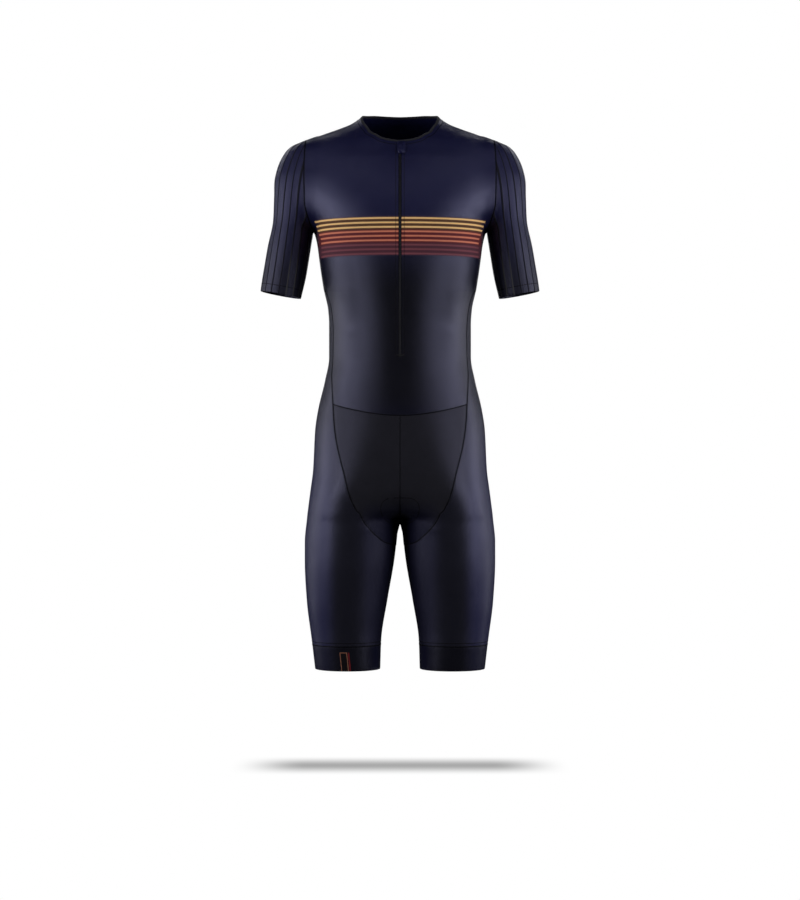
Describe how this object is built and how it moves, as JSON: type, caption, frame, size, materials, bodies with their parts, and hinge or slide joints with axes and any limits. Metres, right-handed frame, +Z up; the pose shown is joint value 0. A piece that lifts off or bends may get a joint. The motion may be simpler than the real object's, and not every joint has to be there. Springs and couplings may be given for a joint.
{
  "type": "short-sleeved triathlon suit",
  "caption": "One-piece short-sleeved triathlon suit in its worn form, hollow, with thigh-length legs, ribbed sleeves and a short front zip.",
  "frame": {"origin": "between the shoulders in the middle of the suit, 27 mm above the bottom of the front of the neck edge, where the wearer's shoulders hold the suit up", "axes": "+X to the wearer's left, -Y to the front, +Z up"},
  "size_m": [0.5036, 0.2241, 0.9996],
  "materials": {
    "body_cloth": "smooth stretch knit with a soft sheen",
    "brief_cloth": "smooth stretch knit",
    "sleeve_cloth": "ribbed stretch knit",
    "band": "smooth elastic band",
    "binding": "elastic binding",
    "pad": "matte fleece",
    "zip_tape": "woven tape",
    "zip_plastic": "coil zip"
  },
  "bodies": {
    "root": {"front_body": "body_cloth", "back_body": "body_cloth", "front_brief_left": "brief_cloth", "front_brief_right": "brief_cloth", "seat_back": "brief_cloth", "seat_pad": "pad", "side_leg_left": "body_cloth", "side_leg_right": "body_cloth", "leg_band_left": "band", "leg_band_right": "band", "sleeve_left": "sleeve_cloth", "sleeve_right": "sleeve_cloth", "neck_binding": "binding", "zip_tape_left": "zip_tape", "zip_tape_right": "zip_tape", "zip_teeth": "zip_plastic", "zip_slider": "zip_plastic", "zip_garage": "body_cloth"}
  },
  "joints": []
}
